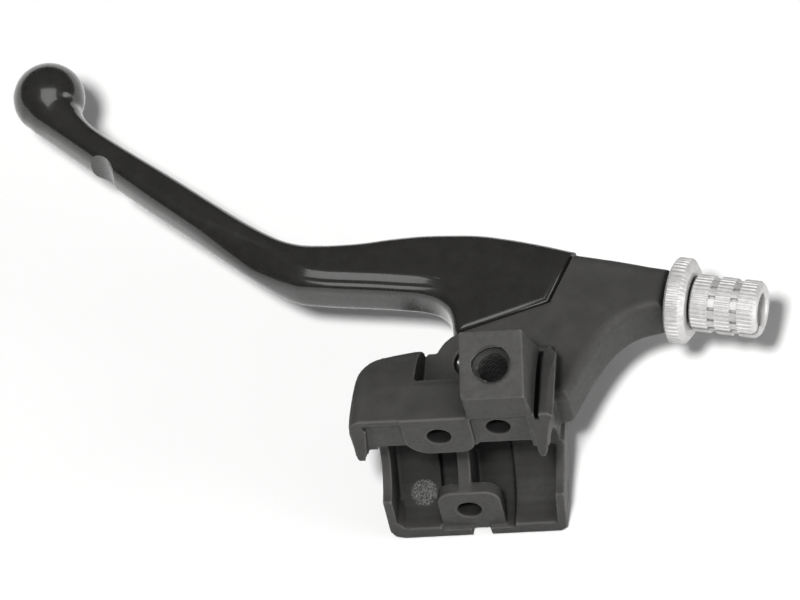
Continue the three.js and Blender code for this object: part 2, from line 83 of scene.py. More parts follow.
def make_camera():
    data = bpy.data.cameras.new("camera")
    data.type = "ORTHO"
    data.ortho_scale = FRAME_WIDTH
    data.clip_start, data.clip_end = CLIP_START, CLIP_END
    camera = link_new("camera", data)
    turn = Matrix((VIEW_RIGHT, VIEW_BACK.cross(VIEW_RIGHT), VIEW_BACK)).transposed()
    camera.matrix_world = Matrix.Translation(FRAME_CENTRE + VIEW_BACK * CAMERA_DISTANCE) @ turn.to_4x4()
    bpy.context.scene.camera = camera


# ---------------------------------------------------------------- light and floor

# Directions point from the part towards the light. Lengths are in metres.
LIGHT_TARGET = Vector((-0.02, 0.05, 0.0))
LIGHT_DISTANCE = 0.75
SUN_DIRECTION, SUN_STRENGTH, SUN_SPREAD = Vector((0.03, -0.49, 0.87)), 3.35, math.radians(6)
SOFTBOX_DIRECTION, SOFTBOX_SIDE, SOFTBOX_RADIANCE = Vector((0.03, -0.36, 0.93)), 0.72, 2.2
FILL_DIRECTION, FILL_WIDTH, FILL_HEIGHT, FILL_RADIANCE = Vector((0.9, -0.32, 0.28)), 0.4, 0.5, 2.8
# Light from around the part, at the horizon and from a given height up, and what the camera sees instead.
ROOM_LOW, ROOM_HIGH, ROOM_HIGH_FROM = (0.05, 0.05, 0.05, 1), (0.17, 0.17, 0.17, 1), 0.75
BACKDROP = (0.95, 0.95, 0.95, 1)
# The paper under the part: its own colour, and the darker one that it throws back on the part.
PAPER_COLOUR, BOUNCE_COLOUR = (0.9, 0.9, 0.895, 1), (0.3, 0.3, 0.3, 1)
FLOOR_HALF_SIDE, FLOOR_GAP = 4.0, 0.001


def aim(light, direction):
    """Puts a light in the given direction from the part and turns it towards the part."""
    direction = direction.normalized()
    light.location = LIGHT_TARGET + direction * LIGHT_DISTANCE
    light.rotation_mode = "QUATERNION"
    light.rotation_quaternion = (-direction).to_track_quat("-Z", "Y")


def area_light(name, direction, width, height, radiance):
    data = bpy.data.lights.new(name, "AREA")
    data.shape = "RECTANGLE"
    data.size, data.size_y = width, height
    data.energy = radiance * math.pi * width * height
    light = link_new(name, data)
    aim(light, direction)
    return light


def make_lights():
    """A sun that isn't reflected, a softbox that is only reflected, and a fill from the right."""
    sun = bpy.data.lights.new("key", "SUN")
    sun.energy, sun.angle = SUN_STRENGTH, SUN_SPREAD
    key = link_new("key", sun)
    aim(key, SUN_DIRECTION)
    key.visible_glossy = False
    softbox = area_light("softbox", SOFTBOX_DIRECTION, SOFTBOX_SIDE, SOFTBOX_SIDE, SOFTBOX_RADIANCE)
    softbox.visible_diffuse = False
    area_light("fill", FILL_DIRECTION, FILL_WIDTH, FILL_HEIGHT, FILL_RADIANCE)


def make_world():
    world = bpy.data.worlds.new("studio")
    bpy.context.scene.world = world
    world.use_nodes = True
    nodes, links = world.node_tree.nodes, world.node_tree.links
    nodes.clear()
    place = nodes.new("ShaderNodeTexCoord")
    split = nodes.new("ShaderNodeSeparateXYZ")
    ramp = nodes.new("ShaderNodeValToRGB")
    low, high = ramp.color_ramp.elements
    low.position, low.color = 0.0, ROOM_LOW
    high.position, high.color = ROOM_HIGH_FROM, ROOM_HIGH
    room = nodes.new("ShaderNodeBackground")
    backdrop = nodes.new("ShaderNodeBackground")
    backdrop.inputs["Color"].default_value = BACKDROP
    ray = nodes.new("ShaderNodeLightPath")
    mix = nodes.new("ShaderNodeMixShader")
    out = nodes.new("ShaderNodeOutputWorld")
    links.new(place.outputs["Generated"], split.inputs[0])
    links.new(split.outputs["Z"], ramp.inputs["Fac"])
    links.new(ramp.outputs["Color"], room.inputs["Color"])
    links.new(ray.outputs["Is Camera Ray"], mix.inputs["Fac"])
    links.new(room.outputs[0], mix.inputs[1])
    links.new(backdrop.outputs[0], mix.inputs[2])
    links.new(mix.outputs[0], out.inputs["Surface"])


def make_floor():
    half, level = FLOOR_HALF_SIDE, CAD_BOX[0].z - FLOOR_GAP
    corners = [(x, y, level) for x, y in ((-half, -half), (half, -half), (half, half), (-half, half))]
    mesh = bpy.data.meshes.new("floor")
    mesh.from_pydata(corners, [], [(0, 1, 2, 3)])
    floor = link_new("floor", mesh)
    material = bpy.data.materials.new("paper")
    material.use_nodes = True
    nodes, links = material.node_tree.nodes, material.node_tree.links
    shader = nodes["Principled BSDF"]
    shader.inputs["Base Color"].default_value = PAPER_COLOUR
    shader.inputs["Roughness"].default_value = 0.9
    shader.inputs["Specular IOR Level"].default_value = 0.1
    bounce = nodes.new("ShaderNodeBsdfDiffuse")
    bounce.inputs["Color"].default_value = BOUNCE_COLOUR
    ray, mix = nodes.new("ShaderNodeLightPath"), nodes.new("ShaderNodeMixShader")
    links.new(ray.outputs["Is Diffuse Ray"], mix.inputs["Fac"])
    links.new(shader.outputs[0], mix.inputs[1])
    links.new(bounce.outputs[0], mix.inputs[2])
    links.new(mix.outputs[0], nodes["Material Output"].inputs["Surface"])
    mesh.materials.append(material)


# ---------------------------------------------------------------- materials

class Material:
    """A procedural material: one principled shader, with noise in object space feeding it."""

    def __init__(self, name):
        self.material = bpy.data.materials.new(name)
        self.material.use_nodes = True
        self.nodes = self.material.node_tree.nodes
        self.links = self.material.node_tree.links
        self.shader = self.nodes["Principled BSDF"]
        self.place = self.nodes.new("ShaderNodeTexCoord")
        self.height = None

    def set(self, **values):
        for key, value in values.items():
            self.shader.inputs[key.replace("_", " ")].default_value = value

    def noise(self, grain, detail):
        """Noise whose features are about grain metres across."""
        noise = self.nodes.new("ShaderNodeTexNoise")
        noise.inputs["Scale"].default_value = 1.0 / grain
        noise.inputs["Detail"].default_value = detail
        self.links.new(self.place.outputs["Object"], noise.inputs["Vector"])
        return noise.outputs["Fac"]

    def remap(self, value, low, high, to_low, to_high):
        """Maps low..high of a value to to_low..to_high."""
        node = self.nodes.new("ShaderNodeMapRange")
        for key, number in zip(("From Min", "From Max", "To Min", "To Max"), (low, high, to_low, to_high)):
            node.inputs[key].default_value = number
        self.links.new(value, node.inputs["Value"])
        return node.outputs["Result"]

    def ramp(self, value, *stops):
        """Colours along a value; each stop is a position and a colour."""
        node = self.nodes.new("ShaderNodeValToRGB")
        elements = node.color_ramp.elements
        while len(elements) < len(stops):
            elements.new(0.5)
        for element, (position, colour) in zip(elements, stops):
            element.position = position
            element.color = (*colour, 1)
        self.links.new(value, node.inputs["Fac"])
        return node.outputs["Color"]

    def mix(self, factor, colour_a, colour_b):
        node = self.nodes.new("ShaderNodeMix")
        node.data_type = "RGBA"
        self.links.new(factor, node.inputs["Factor"])
        for key, colour in (("A", colour_a), ("B", colour_b)):
            socket = [s for s in node.inputs if s.name == key and s.type == "RGBA"][0]
            if isinstance(colour, tuple):
                socket.default_value = (*colour, 1)
            else:
                self.links.new(colour, socket)
        return [s for s in node.outputs if s.type == "RGBA"][0]

    def edges(self, low, high):
        """1 on convex edges, 0 elsewhere."""
        geometry = self.nodes.new("ShaderNodeNewGeometry")
        return self.remap(geometry.outputs["Pointiness"], low, high, 0.0, 1.0)

    def occlusion_shade(self, reach, low, high):
        """0 deep in a hollow, 1 in the open, from ambient occlusion: the mask for painted shade."""
        node = self.nodes.new("ShaderNodeAmbientOcclusion")
        node.samples = 8
        node.inputs["Distance"].default_value = reach
        return self.remap(node.outputs["AO"], low, high, 0.0, 1.0)

    def near(self, centre, inner, outer):
        """1 within inner metres of a point, 0 past outer."""
        node = self.nodes.new("ShaderNodeVectorMath")
        node.operation = "DISTANCE"
        self.links.new(self.place.outputs["Object"], node.inputs[0])
        node.inputs[1].default_value = centre
        return self.remap(node.outputs["Value"], inner, outer, 1.0, 0.0)

    def both(self, value_a, value_b):
        """The product of two values."""
        node = self.nodes.new("ShaderNodeMath")
        node.operation = "MULTIPLY"
        self.links.new(value_a, node.inputs[0])
        self.links.new(value_b, node.inputs[1])
        return node.outputs["Value"]

    def bump(self, value, strength, distance):
        node = self.nodes.new("ShaderNodeBump")
        node.inputs["Strength"].default_value = strength
        node.inputs["Distance"].default_value = distance
        self.links.new(value, node.inputs["Height"])
        if self.height:
            self.links.new(self.height, node.inputs["Normal"])
        self.height = node.outputs["Normal"]
        self.links.new(self.height, self.shader.inputs["Normal"])

    def feed(self, key, value):
        """Links a value to an input of the shader."""
        self.links.new(value, self.shader.inputs[key])


# Where an ejector pin has left a speckled disc on the housing's inner wall, and where that disc fades out.
EJECTOR_MARK = (-0.0154, 0.0106, -0.0227)
MARK_INNER, MARK_OUTER = 0.0034, 0.0039


def cast_black():
    """Matt black over fine die-cast grain, lighter along the edges from wear and a painted highlight, and
    darker in the hollows from painted shade.
    """
    m = Material("cast_black")
    dark, light, edge_wear_and_highlight = (0.037, 0.0362, 0.0345), (0.050, 0.049, 0.0465), (0.13, 0.126, 0.12)
    # hollow is the painted shade's colour; speck is the ejector mark's.
    hollow, speck = (0.010, 0.0098, 0.0095), (0.16, 0.16, 0.155)
    mottle = m.ramp(m.noise(0.006, 5), (0.3, dark), (0.7, light))
    # Lighter convex edges: partly wear, partly a painted highlight.
    curvature_toned = m.mix(m.edges(0.515, 0.57), mottle, edge_wear_and_highlight)
    # Painted shade: the hollows take the dark colour where ambient occlusion is low.
    shaded = m.mix(m.occlusion_shade(0.016, 0.35, 0.9), hollow, curvature_toned)
    speckle = m.remap(m.noise(0.0005, 5), 0.42, 0.6, 0.0, 0.8)
    mark = m.both(m.near(EJECTOR_MARK, MARK_INNER, MARK_OUTER), speckle)
    m.feed("Base Color", m.mix(mark, shaded, speck))
    m.feed("Roughness", m.remap(m.noise(0.0012, 4), 0.3, 0.7, 0.5, 0.66))
    m.set(Specular_IOR_Level=0.5)
    m.bump(m.noise(0.00045, 4), 0.35, 0.00006)
    m.bump(m.noise(0.0022, 3), 0.25, 0.00012)
    return m.material


def gloss_black():
    """Gloss black lacquer with a faint orange peel and fine dust in it."""
    m = Material("gloss_black")
    dark, light = (0.0125, 0.012, 0.011), (0.018, 0.0175, 0.016)
    m.feed("Base Color", m.ramp(m.noise(0.004, 4), (0.35, dark), (0.7, light)))
    m.feed("Roughness", m.remap(m.noise(0.0015, 4), 0.3, 0.7, 0.22, 0.29))
    m.set(Coat_Weight=0.7, Coat_Roughness=0.1, Specular_IOR_Level=0.5)
    m.bump(m.noise(0.003, 2), 0.06, 0.00004)
    m.bump(m.noise(0.0006, 2), 0.02, 0.00001)
    return m.material


def bright_alloy():
    """Bright silver, tumbled and knurled: soft streaks, grey in the hollows, and painted shade near black
    deep in recesses.
    """
    m = Material("bright_alloy")
    dark, light = (0.62, 0.61, 0.605), (0.76, 0.75, 0.745)
    groove, occlusion_shade = (0.5, 0.49, 0.48), (0.03, 0.032, 0.033)
    tone = m.ramp(m.noise(0.0018, 4), (0.3, dark), (0.7, light))
    hollow = m.remap(m.edges(0.40, 0.49), 0.0, 1.0, 1.0, 0.0)
    curvature_toned = m.mix(hollow, tone, groove)
    # Painted shade: near black where ambient occlusion finds a deep recess.
    m.feed("Base Color", m.mix(m.occlusion_shade(0.004, 0.1, 0.5), occlusion_shade, curvature_toned))
    m.feed("Roughness", m.remap(m.noise(0.0007, 4), 0.3, 0.7, 0.42, 0.58))
    m.set(Metallic=0.55)
    m.bump(m.noise(0.0003, 3), 0.2, 0.00003)
    return m.material


def zinc_steel():
    """Bright zinc plate."""
    m = Material("zinc_steel")
    dark, light = (0.5, 0.5, 0.49), (0.68, 0.68, 0.67)
    m.feed("Base Color", m.ramp(m.noise(0.0015, 4), (0.3, dark), (0.7, light)))
    m.feed("Roughness", m.remap(m.noise(0.0006, 4), 0.3, 0.7, 0.28, 0.42))
    m.set(Metallic=1.0)
    m.bump(m.noise(0.0003, 3), 0.15, 0.00002)
    return m.material


def bronze():
    """Plain sintered bronze."""
    m = Material("bronze")
    dark, light = (0.34, 0.22, 0.1), (0.56, 0.38, 0.18)
    m.feed("Base Color", m.ramp(m.noise(0.0008, 5), (0.3, dark), (0.7, light)))
    m.feed("Roughness", m.remap(m.noise(0.0005, 4), 0.3, 0.7, 0.4, 0.55))
    m.set(Metallic=1.0)
    m.bump(m.noise(0.00025, 4), 0.3, 0.00003)
    return m.material


def nylon():
    """Smooth blue nylon."""
    m = Material("nylon")
    dark, light = (0.07, 0.17, 0.44), (0.09, 0.22, 0.52)
    m.feed("Base Color", m.ramp(m.noise(0.0009, 3), (0.3, dark), (0.7, light)))
    m.feed("Roughness", m.remap(m.noise(0.0006, 3), 0.3, 0.7, 0.45, 0.6))
    m.bump(m.noise(0.0003, 3), 0.1, 0.00002)
    return m.material


# ---------------------------------------------------------------- mesh helpers

WELD_DISTANCE = 0.002 * MM
CIRCLE_CORNERS = 64


def edit_mesh(mesh, edit):
    """Runs an edit on the mesh as a bmesh."""
    work = bmesh.new()
    work.from_mesh(mesh)
    edit(work)
    work.to_mesh(mesh)
    work.free()


def face_outwards(mesh):
    edit_mesh(mesh, lambda work: bmesh.ops.recalc_face_normals(work, faces=work.faces))


def weld(mesh):
    edit_mesh(mesh, lambda work: bmesh.ops.remove_doubles(work, verts=work.verts, dist=WELD_DISTANCE))


def solid(verts, faces):
    """A closed solid from corners in millimetres, to finish as a piece or to combine with one."""
    mesh = bpy.data.meshes.new("solid")
    mesh.from_pydata([Vector(v) * MM for v in verts], [], faces)
    face_outwards(mesh)
    return link_new("solid", mesh)


def finish_piece(obj, name, material, body, smooth_angle):
    """Names and shades a solid, and lets it ride on a CAD body."""
    obj.name = obj.data.name = name
    obj.data.materials.clear()
    obj.data.materials.append(material)
    obj.data.polygons.foreach_set("use_smooth", [True] * len(obj.data.polygons))
    obj.data.set_sharp_from_angle(angle=math.radians(smooth_angle))
    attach(obj, body)


def apply_modifiers(obj):
    depsgraph = bpy.context.evaluated_depsgraph_get()
    depsgraph.update()
    mesh = bpy.data.meshes.new_from_object(obj.evaluated_get(depsgraph))
    obj.modifiers.clear()
    obj.data = mesh


def combine(obj, other, operation):
    """Boolean of obj with a throwaway solid, which is deleted."""
    modifier = obj.modifiers.new("bool", "BOOLEAN")
    modifier.operation = operation
    modifier.solver = "MANIFOLD"
    modifier.object = other
    apply_modifiers(obj)
    bpy.data.objects.remove(other)


def grid_faces(rows, columns, close_rows=False):
    """Quads between rings of corners, with the last ring joined to the first if close_rows."""
    faces = []
    for i in range(rows if close_rows else rows - 1):
        this, following = i * columns, (i + 1) % rows * columns
        for j in range(columns):
            right = (j + 1) % columns
            faces.append((this + j, this + right, following + right, following + j))
    return faces


def stack(outlines):
    """Corners and faces of a closed solid through outlines of equal length, each a list of (x, y, z)."""
    rows, columns = len(outlines), len(outlines[0])
    verts = [point for ring in outlines for point in ring]
    faces = grid_faces(rows, columns)
    faces.append(tuple(reversed(range(columns))))
    faces.append(tuple(range((rows - 1) * columns, rows * columns)))
    return verts, faces


def prism(points, bottom, top):
    return solid(*stack([[(x, y, height) for x, y in points] for height in (bottom, top)]))


def circle(cx, cy, radius):
    turns = [2 * math.pi * k / CIRCLE_CORNERS for k in range(CIRCLE_CORNERS)]
    return [(cx + radius * math.cos(turn), cy + radius * math.sin(turn)) for turn in turns]


def frame_along(start, axis):
    """Matrix whose Z is the axis and whose origin is start, in millimetres."""
    axis = Vector(axis).normalized()
    side = axis.orthogonal().normalized()
    turn = Matrix((side, axis.cross(side), axis)).transposed().to_4x4()
    return Matrix.Translation(Vector(start)) @ turn


def rod(start, axis, radius, low, high):
    """A round rod along an axis, between two distances from its start."""
    place, outline = frame_along(start, axis), circle(0, 0, radius)
    return solid(*stack([[place @ Vector((x, y, height)) for x, y in outline] for height in (low, high)]))


def catmull(points, steps, closed=False):
    """Points on a smooth curve through the given tuples, steps to each span."""
    count, size = len(points), len(points[0])
    result = []
    for i in range(count if closed else count - 1):
        if closed:
            nearby = [points[(i + k) % count] for k in (-1, 0, 1, 2)]
        else:
            nearby = [points[min(max(i + k, 0), count - 1)] for k in (-1, 0, 1, 2)]
        for step in range(steps):
            t = step / steps
            weights = (
                -0.5 * t + t * t - 0.5 * t ** 3, 1 - 2.5 * t * t + 1.5 * t ** 3,
                0.5 * t + 2 * t * t - 1.5 * t ** 3, -0.5 * t * t + 0.5 * t ** 3,
            )
            result.append(tuple(sum(w * p[d] for w, p in zip(weights, nearby)) for d in range(size)))
    if not closed:
        result.append(tuple(points[-1]))
    return result


# ---------------------------------------------------------------- dimensions in millimetres, as in the CAD

PIVOT = tuple(v / MM for v in JOINTS["lever_pivot"]["pos_m"])
ADJUSTER = tuple(v / MM for v in JOINTS["adjuster_turn"]["pos_m"])
ADJUSTER_AXIS = JOINTS["adjuster_turn"]["axis"]
LEVER_TOP, LEVER_BOTTOM = 14.0, 1.0
LEVER_MID = (LEVER_TOP + LEVER_BOTTOM) / 2
BALL = (-122.0, 129.0)
BALL_RADIUS = 10.0
EAR_RADIUS = 11.2
EDGE_ANGLE = math.atan2(9.9, 25.9)
EDGE_START = (PIVOT[0] - EAR_RADIUS * math.sin(EDGE_ANGLE), PIVOT[1] + EAR_RADIUS * math.cos(EDGE_ANGLE))
EDGE_CORNER = (23.6, 47.4)
EDGE_END = (29.4, 62.8)
JOINT_GAP = 0.5
# The middle of the pocket for the cable's end barrel.
NIPPLE = (14.5, 59.6)
# Heights well clear of the lever, for cutting right through it.
BELOW, ABOVE = -20.0, 40.0

# ---------------------------------------------------------------- lever

# Sections of the lever. Each has 25 guide points that run up the rider's side, over the top, down the
# front and back along the underside. "rider" points are measured from the rider's edge and "front"
# points from the front edge; heights are below the top (negative) or above the underside (positive).
ANGLES = (
    -72, -52, -32, -10, 8, 22, 34, 45, 55, 64, 72, 80, 88,
    98, 108, 119, 131, 146, 162, 180, 198, 215, 232, 250, 268,
)

SHELF = (
    ("rider", 3.0, 0.08), ("rider", 1.1, 0.6), ("rider", 0.2, 2.0), ("rider", 0.0, 4.5),
    ("rider", 0.0, -5.2), ("rider", 0.04, -3.4), ("rider", 0.32, -2.3), ("rider", 0.85, -1.55),
    ("rider", 1.5, -1.16), ("rider", 2.1, -1.02), ("rider", 2.7, -0.92), ("rider", 3.8, -0.52),
    ("rider", 4.9, -0.12), ("rider", 6.4, 0.0), ("front", 7.5, 0.0), ("front", 4.2, -0.06),
    ("front", 2.3, -0.4), ("front", 1.0, -1.2), ("front", 0.25, -2.5), ("front", 0.0, -4.6),
    ("front", 0.1, 3.6), ("front", 0.8, 1.5), ("front", 2.2, 0.4), ("front", 4.6, 0.0), ("front", 7.0, 0.0),
)
ROOT = (
    *SHELF[:4],
    ("rider", 0.0, -5.2), ("rider", 0.1, -3.6), ("rider", 0.42, -2.6), ("rider", 0.95, -1.8),
    ("rider", 1.7, -1.1), ("rider", 2.5, -0.62), ("rider", 3.4, -0.32), ("rider", 4.4, -0.13),
    ("rider", 5.6, -0.03), ("rider", 6.8, 0.0), *SHELF[14:],
)
# The blade's section as shares of its width and height, with the ridge that runs along its top.
RIDGED = (
    (0.30, 0.012), (0.13, 0.06), (0.03, 0.18), (0.0, 0.34), (0.03, 0.48), (0.09, 0.57), (0.16, 0.64),
    (0.235, 0.71), (0.31, 0.775), (0.385, 0.84), (0.455, 0.90), (0.52, 0.955), (0.585, 0.982), (0.665, 0.995),
    (0.745, 0.98), (0.825, 0.935), (0.895, 0.86), (0.95, 0.75), (0.985, 0.62), (1.0, 0.48), (0.985, 0.33),
    (0.93, 0.18), (0.82, 0.07), (0.68, 0.015), (0.48, 0.0),
)
# The power that shapes each round section: 2 is an ellipse, and more is squarer.
ROUND_POWERS = {"ball": 2.0, "oval": 2.7}
EDGED_SECTIONS = {"shelf": SHELF, "root": ROOT}
# The guide points whose heights are measured from the top in those two.
TOP_POINTS = range(4, 20)


def section_guides(kind, width, low, high):
    """The 25 guide points (u, z) of one kind of section."""
    result = []
    if kind in ROUND_POWERS:
        middle, half = (low + high) / 2, (high - low) / 2
        power = 2 / ROUND_POWERS[kind]
        for angle in ANGLES:
            c, s = math.cos(math.radians(angle)), math.sin(math.radians(angle))
            across = math.copysign(abs(c) ** power, c)
            up = math.copysign(abs(s) ** power, s)
            result.append((width / 2 * (1 - across), middle + half * up))
    elif kind == "ridged":
        result = [(width * u, low + (high - low) * z) for u, z in RIDGED]
    else:
        for index, (side, inset, height) in enumerate(EDGED_SECTIONS[kind]):
            across = inset if side == "rider" else width - inset
            result.append((across, (high if index in TOP_POINTS else low) + height))
    return result


def ball_station(along):
    """Section of the ball at a distance from its centre, measured along the lever's tip."""
    radius = math.sqrt(BALL_RADIUS ** 2 - along ** 2)
    direction, side = (-0.25, 0.968), (0.968, 0.25)
    centre = (BALL[0] + along * direction[0], BALL[1] + along * direction[1])
    front = (centre[0] + radius * side[0], centre[1] + radius * side[1])
    rider = (centre[0] - radius * side[0], centre[1] - radius * side[1])
    return front, rider, LEVER_MID + radius, LEVER_MID - radius, {"ball": 1.0}


# Front point, rider point, top, bottom and kind of section, from the ball to the pivot.
STATIONS = [
    *[ball_station(a) for a in (9.99, 9.8, 9.2, 8.0, 6.2, 4.0, 1.5, -1.5, -4.2, -6.3)],
    ((-112.1, 122.4), (-125.9, 119.1), 14.5, 0.5, {"ball": 0.6, "oval": 0.4}),
    ((-111.2, 120.2), (-122.8, 116.7), 14.1, 0.9, {"ball": 0.25, "oval": 0.75}),
    ((-109.4, 117.6), (-118.6, 113.2), 13.9, 1.0, {"oval": 1.0}),
    ((-106.4, 114.5), (-113.9, 109.2), 13.9, 1.0, {"oval": 1.0}),
    ((-99.5, 108.9), (-105.9, 102.4), 13.9, 1.0, {"oval": 1.0}),
    ((-85.1, 98.1), (-91.4, 89.9), 13.9, 1.0, {"oval": 1.0}),
    ((-73.9, 89.4), (-80.3, 80.8), 13.9, 1.0, {"oval": 1.0}),
    ((-62.3, 80.8), (-69.6, 72.1), 13.9, 1.0, {"oval": 0.5, "ridged": 0.5}),
    ((-54.3, 75.8), (-61.3, 65.7), 13.9, 1.0, {"ridged": 0.85, "shelf": 0.15}),
    ((-48.2, 73.3), (-54.4, 60.9), 13.9, 1.0, {"ridged": 0.5, "shelf": 0.5}),
    ((-42.7, 72.2), (-48.8, 58.2), 14.0, 1.0, {"ridged": 0.18, "shelf": 0.82}),
    ((-36.6, 71.8), (-42.0, 57.1), 14.0, 1.0, {"shelf": 1.0}),
    ((-29.7, 72.1), (-34.5, 56.2), 14.0, 1.0, {"shelf": 1.0}),
    ((-22.3, 72.9), (-27.0, 55.4), 14.0, 1.0, {"shelf": 1.0}),
    ((-13.8, 73.4), (-20.0, 54.5), 14.0, 1.0, {"shelf": 1.0}),
    ((-5.7, 73.2), (-14.2, 53.6), 14.0, 1.0, {"shelf": 0.85, "root": 0.15}),
    ((2.4, 72.6), (-9.5, 51.9), 14.0, 1.0, {"shelf": 0.35, "root": 0.65}),
    ((10.0, 71.1), (-6.6, 49.3), 14.0, 1.0, {"root": 1.0}),
    ((16.6, 69.4), (-4.9, 46.2), 14.0, 1.0, {"root": 1.0}),
    ((22.1, 67.8), (-4.0, 42.8), 14.0, 1.0, {"root": 1.0}),
    ((27.1, 66.2), (-3.4, 39.0), 14.0, 1.0, {"root": 1.0}),
    ((32.1, 64.6), (-1.5, 35.6), 14.0, 1.0, {"root": 1.0}),
    ((36.6, 63.2), (5.0, 33.0), 14.0, 1.0, {"root": 1.0}),
    ((41.6, 61.7), (15.0, 31.0), 14.0, 1.0, {"root": 1.0}),
]
STATION_STEPS = 8
SECTION_STEPS = 5


def station_ring(front, rider, high, low, kinds):
    """One station's guide points in space."""
    across = Vector(front) - Vector(rider)
    width = across.length
    across.normalize()
    blended = [(0.0, 0.0)] * len(ANGLES)
    for kind, weight in kinds.items():
        guides = section_guides(kind, width, low, high)
        blended = [(b[0] + weight * g[0], b[1] + weight * g[1]) for b, g in zip(blended, guides)]
    return [(rider[0] + across.x * u, rider[1] + across.y * u, z) for u, z in blended]


def lever_skin():
    rings = [station_ring(*station) for station in STATIONS]
    lines = [catmull(line, STATION_STEPS) for line in zip(*rings)]
    return solid(*stack([catmull(list(ring), SECTION_STEPS, closed=True) for ring in zip(*lines)]))


def offset_edge(inset):
    """The lever's edge along the bracket, moved towards the lever by the joint gap and an inset."""
    first = Vector((-math.sin(EDGE_ANGLE), math.cos(EDGE_ANGLE)))
    run = (Vector(EDGE_END) - Vector(EDGE_CORNER)).normalized()
    second = Vector((-run.y, run.x))
    distance = JOINT_GAP + inset
    lead_in, lead_out = 32, 12
    miter = (first + second).normalized()
    miter_length = distance / miter.dot(first)
    along_first = Vector((math.cos(EDGE_ANGLE), math.sin(EDGE_ANGLE)))
    start = Vector(EDGE_START) + first * distance
    return [
        start - along_first * lead_in, start, Vector(EDGE_CORNER) + miter * miter_length,
        Vector(EDGE_END) + second * distance, Vector(EDGE_END) + run * lead_out + second * distance,
    ]


def bracket_side_tool():
    """Cuts the lever off along the bracket and rounds the edge that this leaves."""
    rounding, steps, overshoot = 2.4, 9, 0.02
    quarter = [math.pi / 2 * k / steps for k in range(steps + 1)]
    levels = [
        (BELOW, rounding),
        *[(LEVER_BOTTOM - overshoot + rounding * (1 - math.cos(turn)), rounding * (1 - math.sin(turn)))
          for turn in quarter],
        *[(LEVER_TOP + overshoot - rounding * (1 - math.sin(turn)), rounding * (1 - math.cos(turn)))
          for turn in quarter],
        (ABOVE, rounding),
    ]
    bracket_side = [(60.0, 78.0), (60.0, 0.0), (-30.0, 0.0)]
    outlines = []
    for height, inset in levels:
        outline = [*(tuple(point) for point in offset_edge(inset)), *bracket_side]
        outlines.append([(x, y, height) for x, y in reversed(outline)])
    return solid(*stack(outlines))


def lever_tongue():
    """The eye round the pivot, between the bracket's ears, and its root in the blade."""
    radius, bottom, top, steps = 9.3, 3.8, 9.0, 32
    turns = [math.pi + k * math.pi / steps for k in range(steps + 1)]
    arc = [(PIVOT[0] + radius * math.cos(turn), PIVOT[1] + radius * math.sin(turn)) for turn in turns]
    root = [(17.5, 42), (20, 50), (8, 54), (-0.6, 49), (-2.0, 41)]
    return prism([*arc, *root], bottom, top)


def notch_tool():
    """Scoop on the rider's side near the ball, where the tip breaks off in a fall."""
    centre, across = Vector((-106.5, 101.0)), Vector((0.62, 0.78)).normalized()
    along = Vector((-across.y, across.x))
    length, width, corners = 4.9, 3.7, 72
    turns = [2 * math.pi * k / corners for k in range(corners)]
    outline = [centre + along * (length * math.cos(turn)) + across * (width * math.sin(turn))
               for turn in turns]
    return prism(outline, BELOW, ABOVE)


def wire_slot():
    """Slot from the pocket of the cable's end barrel towards the adjuster, open below."""
    along, side = Vector(ADJUSTER_AXIS[:2]), Vector((-ADJUSTER_AXIS[1], ADJUSTER_AXIS[0]))
    length, half = 40, 1.2
    corners = ((0, -half), (length, -half), (length, half), (0, half))
    return prism([Vector(NIPPLE) + along * a + side * s for a, s in corners], BELOW, LEVER_MID + 1.4)


def make_lever(material):
    nipple_radius, nipple_roof, bush_radius = 4.2, LEVER_MID + 2.4, 4.9
    lever = lever_skin()
    combine(lever, bracket_side_tool(), "DIFFERENCE")
    combine(lever, lever_tongue(), "UNION")
    combine(lever, notch_tool(), "DIFFERENCE")
    combine(lever, prism(circle(*NIPPLE, nipple_radius), BELOW, nipple_roof), "DIFFERENCE")
    combine(lever, prism(circle(*PIVOT[:2], bush_radius), BELOW, ABOVE), "DIFFERENCE")
    combine(lever, wire_slot(), "DIFFERENCE")
    finish_piece(lever, "lever_blade", material, "lever", 40)
    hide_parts("clutch_lever")


# ---------------------------------------------------------------- bracket

VOXEL = 0.36
SMOOTH_FACTOR, SMOOTH_ROUNDS = 0.5, 5
# The mirror hole's mouth is on the boss's sloping top, and the CAD hole is square to that.
BOSS_SLOPE = math.radians(25)
BOSS_FRONT_HEIGHT = 36
MIRROR_X, MIRROR_Y = 13.0, 8.75
MIRROR_MOUTH = (MIRROR_X, MIRROR_Y, BOSS_FRONT_HEIGHT + MIRROR_Y * math.tan(BOSS_SLOPE))
MIRROR_HOLE_AXIS = (0.0, -math.sin(BOSS_SLOPE), math.cos(BOSS_SLOPE))
THREAD_AXIS = (-0.14, -0.08, 0.987)
# The plug that fills the CAD hole before the thread is cut. Its ends are measured from the mouth.
PLUG_RADIUS, PLUG_BOTTOM, PLUG_TOP = 4.9, -16.5, -0.9


def make_bracket(material):
    """The CAD mesh with its edges rounded by a fine remesh, and the mirror's thread."""
    source = frame["nodes"]["bracket_housing"]
    bracket = link_new("bracket_casting", source.data.copy())
    bracket.matrix_world = source.matrix_world.copy()
    weld(bracket.data)
    combine(bracket, rod(MIRROR_MOUTH, MIRROR_HOLE_AXIS, PLUG_RADIUS, PLUG_BOTTOM, PLUG_TOP), "UNION")
    remesh = bracket.modifiers.new("remesh", "REMESH")
    remesh.mode = "VOXEL"
    remesh.voxel_size = VOXEL * MM
    smooth = bracket.modifiers.new("smooth", "SMOOTH")
    smooth.factor, smooth.iterations = SMOOTH_FACTOR, SMOOTH_ROUNDS
    apply_modifiers(bracket)
    combine(bracket, mirror_thread_tool(), "DIFFERENCE")
    finish_piece(bracket, "bracket_casting", material, "bracket", 60)
    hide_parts("bracket_housing")


